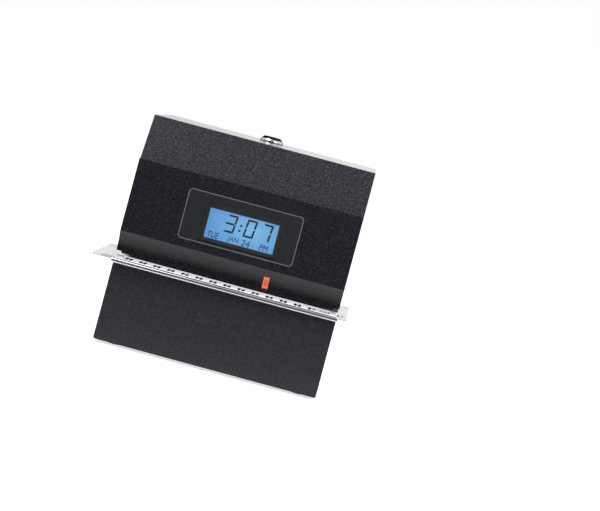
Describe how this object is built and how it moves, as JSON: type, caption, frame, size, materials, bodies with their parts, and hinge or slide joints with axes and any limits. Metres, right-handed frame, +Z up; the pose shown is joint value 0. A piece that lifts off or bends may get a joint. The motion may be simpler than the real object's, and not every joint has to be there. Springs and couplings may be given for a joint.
{
  "type": "date and time stamp machine",
  "caption": "Desk time stamp: black sheet-steel head with a clock display overhanging a card slot with a clear paper guide, a keyed lift-off cover and a box base.",
  "frame": {"origin": "on the desk, under the middle of the body's footprint", "axes": "+X to the right seen from the front, +Y from the front to the back, +Z up"},
  "size_m": [0.2683, 0.171, 0.245],
  "materials": {
    "cover_paint": "fine wrinkle-textured black enamel, satin",
    "base_paint": "smooth satin black enamel",
    "smoked_window": "gloss smoked acrylic with a printed border",
    "black_plastic": "matte moulded ABS",
    "red_lens": "gloss translucent red acrylic",
    "chrome_lock": "polished chrome plate",
    "plated_steel": "bright zinc plate",
    "bright_rail": "polished stainless nosing",
    "white_strip": "white gloss sheet",
    "clear_acrylic": "clear acrylic sheet with printed marks",
    "zinc_steel": "zinc-plated sheet steel",
    "foot_rubber": "moulded rubber",
    "platen_rubber": "hard black rubber",
    "lcd_glass": "backlit blue liquid crystal glass",
    "circuit_board": "green solder mask",
    "chip_plastic": "black epoxy",
    "white_plastic": "natural acetal",
    "bearing_bronze": "sintered bronze",
    "head_casting": "cast aluminium with fins",
    "cartridge_plastic": "moulded ABS",
    "inked_fabric": "inked nylon ribbon",
    "cable_film": "flat cable film",
    "battery_wrap": "shrink-wrapped cells",
    "button_plastic": "moulded grey caps"
  },
  "bodies": {
    "chassis": {"base_housing": "base_paint", "rubber_feet": "foot_rubber", "rear_panel": "base_paint", "power_inlet": "black_plastic", "throat_tray": "zinc_steel", "front_rail": "bright_rail", "backing_strip": "white_strip", "platen_bar": "platen_rubber", "throat_ceiling": "zinc_steel", "frame_left": "zinc_steel", "frame_right": "zinc_steel", "motor_wall": "zinc_steel", "rear_tie": "zinc_steel", "lock_bar": "zinc_steel", "lcd_panel": "lcd_glass", "lcd_bezel": "black_plastic", "display_bracket": "zinc_steel", "display_board": "circuit_board", "button_switches": "black_plastic", "guide_shaft": "plated_steel", "carriage_rail": "zinc_steel", "drive_belt": "platen_rubber", "pivot_pins": "plated_steel", "carriage_motor": "zinc_steel", "ribbon_motor": "zinc_steel", "cartridge_case": "cartridge_plastic", "cartridge_lid": "cartridge_plastic", "ink_ribbon": "inked_fabric", "cartridge_bracket": "black_plastic", "trigger_bracket": "black_plastic", "main_board": "circuit_board", "flat_cable": "cable_film", "board_components": "chip_plastic", "backup_battery": "battery_wrap", "battery_clip": "black_plastic", "machine_screws": "plated_steel"},
    "cover": {"top_cover": "cover_paint", "display_window": "smoked_window", "window_retainer": "black_plastic", "indicator_lens": "red_lens", "lock_barrel": "chrome_lock", "lock_nut": "plated_steel"},
    "lock": {"lock_plug": "chrome_lock", "lock_cam": "plated_steel"},
    "guide": {"paper_guide": "clear_acrylic"},
    "left_guide_screw": {"guide_screw_left": "plated_steel"},
    "right_guide_screw": {"guide_screw_right": "plated_steel"},
    "carriage": {"carriage": "white_plastic", "carriage_bush": "bearing_bronze", "print_head": "head_casting"},
    "belt_drive": {"drive_pulley": "white_plastic", "motor_shaft": "plated_steel"},
    "belt_idler": {"idler_pulley": "white_plastic"},
    "ribbon_drive": {"ribbon_knob": "cartridge_plastic"},
    "depth_stop": {"card_stop": "zinc_steel"},
    "trigger": {"trigger_lever": "white_plastic"},
    "mode_key": {"mode_button": "button_plastic"},
    "select_key": {"select_button": "button_plastic"},
    "change_key": {"change_button": "button_plastic"},
    "set_key": {"set_button": "button_plastic"}
  },
  "joints": [
    {"name": "cover_lift", "type": "slide", "parent": "chassis", "child": "cover", "axis": [0, 0, 1], "range_m": [0, 0.16]},
    {"name": "lock_turn", "type": "hinge", "parent": "cover", "child": "lock", "pos_m": [0, 0.046, 0.23], "axis": [0, 0, 1], "range_deg": [-90, 0]},
    {"name": "guide_slide", "type": "slide", "parent": "chassis", "child": "guide", "axis": [1, 0, 0], "range_m": [-0.006, 0.018]},
    {"name": "left_guide_screw_turn", "type": "hinge", "parent": "chassis", "child": "left_guide_screw", "pos_m": [-0.1125, -0.073, 0.088], "axis": [0, 0, 1], "range_deg": [0, 180]},
    {"name": "right_guide_screw_turn", "type": "hinge", "parent": "chassis", "child": "right_guide_screw", "pos_m": [0.1125, -0.073, 0.088], "axis": [0, 0, 1], "range_deg": [0, 180]},
    {"name": "carriage_slide", "type": "slide", "parent": "chassis", "child": "carriage", "axis": [1, 0, 0], "range_m": [-0.009, 0.009]},
    {"name": "drive_turn", "type": "hinge", "parent": "chassis", "child": "belt_drive", "pos_m": [-0.085, 0.029, 0.14], "axis": [0, 1, 0], "range_deg": [-80, 80]},
    {"name": "idler_turn", "type": "hinge", "parent": "chassis", "child": "belt_idler", "pos_m": [0.085, 0.029, 0.14], "axis": [0, 1, 0], "range_deg": [-80, 80]},
    {"name": "ribbon_turn", "type": "hinge", "parent": "chassis", "child": "ribbon_drive", "pos_m": [0.026, -0.009, 0.162], "axis": [0, 1, 0], "continuous": true},
    {"name": "stop_slide", "type": "slide", "parent": "chassis", "child": "depth_stop", "axis": [0, 1, 0], "range_m": [-0.012, 0]},
    {"name": "trigger_swing", "type": "hinge", "parent": "chassis", "child": "trigger", "pos_m": [0.08, -0.004, 0.104], "axis": [1, 0, 0], "range_deg": [0, 60], "stiffness_Nm_per_rad": 0.02},
    {"name": "mode_press", "type": "slide", "parent": "chassis", "child": "mode_key", "axis": [0, 1, 0], "range_m": [0, 0.001], "stiffness_N_per_m": 300},
    {"name": "select_press", "type": "slide", "parent": "chassis", "child": "select_key", "axis": [0, 1, 0], "range_m": [0, 0.001], "stiffness_N_per_m": 300},
    {"name": "change_press", "type": "slide", "parent": "chassis", "child": "change_key", "axis": [0, 1, 0], "range_m": [0, 0.001], "stiffness_N_per_m": 300},
    {"name": "set_press", "type": "slide", "parent": "chassis", "child": "set_key", "axis": [0, 1, 0], "range_m": [0, 0.001], "stiffness_N_per_m": 300}
  ],
  "couplings": [
    {"joint": "drive_turn", "follows": "carriage_slide", "rad_per_m": -144.93},
    {"joint": "idler_turn", "follows": "carriage_slide", "rad_per_m": -144.93}
  ]
}
